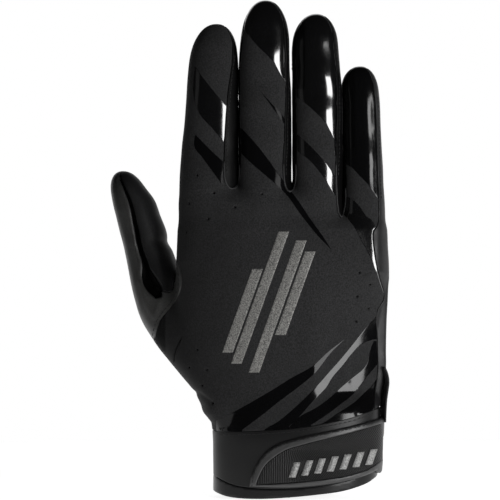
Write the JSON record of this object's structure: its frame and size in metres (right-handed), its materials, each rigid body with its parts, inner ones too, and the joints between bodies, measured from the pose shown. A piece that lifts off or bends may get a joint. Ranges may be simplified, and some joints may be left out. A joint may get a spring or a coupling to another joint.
{
  "type": "right-hand sport glove",
  "caption": "Close-fitting right-hand sport glove with a matte knit back, gloss inlays, leather palm and gusseted fingers, and a strapped wrist cuff, in its worn form.",
  "frame": {"origin": "middle of the wrist opening, level with the mean height of the hem", "axes": "+Z along the fingers, -Y out of the back of the hand, -X to the thumb side"},
  "size_m": [0.1284, 0.0581, 0.2268],
  "materials": {
    "stretch_knit": "matte fine knit",
    "palm_leather": "satin synthetic leather",
    "gusset_leather": "satin synthetic leather",
    "gloss_film": "patent gloss",
    "reflective_print": "grainy silver print",
    "neoprene": "smooth matte neoprene",
    "binding": "smooth folded binding",
    "strap": "matte moulded rubber",
    "ribbed_rubber": "fine ribbed rubber",
    "webbing": "narrow woven tape"
  },
  "bodies": {
    "root": {"back_panel": "stretch_knit", "palm_panel": "palm_leather", "fourchette_index_middle": "gusset_leather", "fourchette_middle_ring": "gusset_leather", "fourchette_ring_little": "gusset_leather", "thumb_outer": "palm_leather", "thumb_inner": "gusset_leather", "cuff_band": "neoprene", "hem_binding": "binding", "closure_strap": "strap", "strap_insert": "ribbed_rubber", "pull_loop": "webbing", "inlay_index_upper": "gloss_film", "inlay_index_lower": "gloss_film", "inlay_middle_tip": "gloss_film", "inlay_middle_slit": "gloss_film", "inlay_middle_sweep": "gloss_film", "inlay_ring_tip": "gloss_film", "inlay_ring_band": "gloss_film", "inlay_little_tip": "gloss_film", "inlay_little_sweep": "gloss_film", "inlay_wrist_1": "gloss_film", "inlay_wrist_2": "gloss_film", "inlay_wrist_3": "gloss_film", "inlay_wrist_4": "gloss_film", "emblem_bar_1": "reflective_print", "emblem_bar_2": "reflective_print", "emblem_bar_3": "reflective_print", "emblem_bar_4": "reflective_print"}
  },
  "joints": []
}
